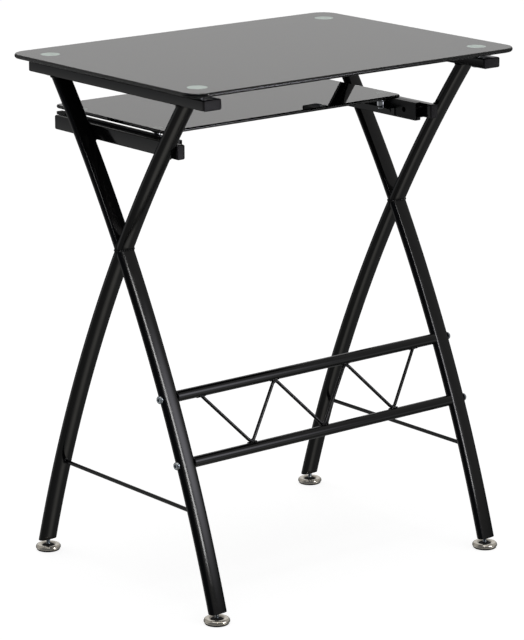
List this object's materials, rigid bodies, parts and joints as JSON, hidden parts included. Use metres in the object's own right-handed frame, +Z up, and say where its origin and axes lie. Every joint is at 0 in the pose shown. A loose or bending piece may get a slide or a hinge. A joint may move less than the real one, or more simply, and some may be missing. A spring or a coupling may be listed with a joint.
{
  "type": "computer desk",
  "caption": "Glass-topped computer desk on crossed, bowed tube legs, with a glass keyboard tray on ball-bearing slides, a zigzag truss at the rear and screw-adjustable feet.",
  "frame": {"origin": "on the floor, under the middle of the desk top", "axes": "+Z up; +X along the long edge of the top; the user sits on the +Y side and the tray pulls out that way"},
  "size_m": [0.602, 0.4528, 0.764],
  "materials": {
    "smoked_glass": "polished, smoked",
    "black_powder_coat": "gloss",
    "black_slide_steel": "satin",
    "chrome": "polished",
    "zinc_plate": "zinc plated",
    "black_plastic": "moulded",
    "black_rubber": "matt"
  },
  "bodies": {
    "frame": {"glass_top": "smoked_glass", "top_discs": "chrome", "top_spacers": "chrome", "top_screws": "zinc_plate", "rail_left": "black_powder_coat", "rail_right": "black_powder_coat", "rail_caps": "black_plastic", "leg_long_left": "black_powder_coat", "leg_upper_left": "black_powder_coat", "leg_lower_left": "black_powder_coat", "leg_long_right": "black_powder_coat", "leg_upper_right": "black_powder_coat", "leg_lower_right": "black_powder_coat", "side_rod_left": "black_powder_coat", "side_rod_right": "black_powder_coat", "truss_tube_upper": "black_powder_coat", "truss_tube_lower": "black_powder_coat", "truss_zigzag": "black_powder_coat", "truss_inserts": "zinc_plate", "truss_bolts": "zinc_plate", "carrier_left": "black_powder_coat", "carrier_right": "black_powder_coat", "carrier_caps": "black_plastic", "slide_fixed_left": "black_slide_steel", "slide_fixed_right": "black_slide_steel", "slide_screws": "zinc_plate", "leg_plugs": "black_plastic"},
    "tray": {"slide_moving_left": "black_slide_steel", "slide_moving_right": "black_slide_steel", "tray_bracket_left": "black_powder_coat", "tray_bracket_right": "black_powder_coat", "bracket_rivets": "black_powder_coat", "tray_glass": "smoked_glass", "tray_discs": "chrome", "tray_spacers": "chrome", "tray_screws": "zinc_plate"},
    "cage_left": {"ball_cage_left": "zinc_plate", "slide_balls_left": "chrome"},
    "cage_right": {"ball_cage_right": "zinc_plate", "slide_balls_right": "chrome"},
    "foot_rear_left": {"foot_dish_rear_left": "chrome", "foot_pad_rear_left": "black_rubber"},
    "stud_rear_left": {"foot_stud_rear_left": "zinc_plate"},
    "foot_rear_right": {"foot_dish_rear_right": "chrome", "foot_pad_rear_right": "black_rubber"},
    "stud_rear_right": {"foot_stud_rear_right": "zinc_plate"},
    "foot_front_left": {"foot_dish_front_left": "chrome", "foot_pad_front_left": "black_rubber"},
    "stud_front_left": {"foot_stud_front_left": "zinc_plate"},
    "foot_front_right": {"foot_dish_front_right": "chrome", "foot_pad_front_right": "black_rubber"},
    "stud_front_right": {"foot_stud_front_right": "zinc_plate"}
  },
  "joints": [
    {"name": "tray_slide", "type": "slide", "parent": "frame", "child": "tray", "axis": [0, 1, 0], "range_m": [0, 0.2]},
    {"name": "cage_left_roll", "type": "slide", "parent": "frame", "child": "cage_left", "axis": [0, 1, 0], "range_m": [0, 0.1]},
    {"name": "cage_right_roll", "type": "slide", "parent": "frame", "child": "cage_right", "axis": [0, 1, 0], "range_m": [0, 0.1]},
    {"name": "foot_rear_left_drop", "type": "slide", "parent": "frame", "child": "foot_rear_left", "axis": [0, 0, -1], "range_m": [0, 0.006]},
    {"name": "foot_rear_left_turn", "type": "hinge", "parent": "foot_rear_left", "child": "stud_rear_left", "pos_m": [-0.258, -0.20739, 0.016], "axis": [0, 0, -1], "range_deg": [0, 2160]},
    {"name": "foot_rear_right_drop", "type": "slide", "parent": "frame", "child": "foot_rear_right", "axis": [0, 0, -1], "range_m": [0, 0.006]},
    {"name": "foot_rear_right_turn", "type": "hinge", "parent": "foot_rear_right", "child": "stud_rear_right", "pos_m": [0.258, -0.20739, 0.016], "axis": [0, 0, -1], "range_deg": [0, 2160]},
    {"name": "foot_front_left_drop", "type": "slide", "parent": "frame", "child": "foot_front_left", "axis": [0, 0, -1], "range_m": [0, 0.006]},
    {"name": "foot_front_left_turn", "type": "hinge", "parent": "foot_front_left", "child": "stud_front_left", "pos_m": [-0.258, 0.20739, 0.016], "axis": [0, 0, -1], "range_deg": [0, 2160]},
    {"name": "foot_front_right_drop", "type": "slide", "parent": "frame", "child": "foot_front_right", "axis": [0, 0, -1], "range_m": [0, 0.006]},
    {"name": "foot_front_right_turn", "type": "hinge", "parent": "foot_front_right", "child": "stud_front_right", "pos_m": [0.258, 0.20739, 0.016], "axis": [0, 0, -1], "range_deg": [0, 2160]}
  ],
  "couplings": [
    {"joint": "cage_left_roll", "follows": "tray_slide", "ratio": 0.5},
    {"joint": "cage_right_roll", "follows": "tray_slide", "ratio": 0.5},
    {"joint": "foot_rear_left_turn", "follows": "foot_rear_left_drop", "rad_per_m": 6283.2},
    {"joint": "foot_rear_right_turn", "follows": "foot_rear_right_drop", "rad_per_m": 6283.2},
    {"joint": "foot_front_left_turn", "follows": "foot_front_left_drop", "rad_per_m": 6283.2},
    {"joint": "foot_front_right_turn", "follows": "foot_front_right_drop", "rad_per_m": 6283.2}
  ]
}
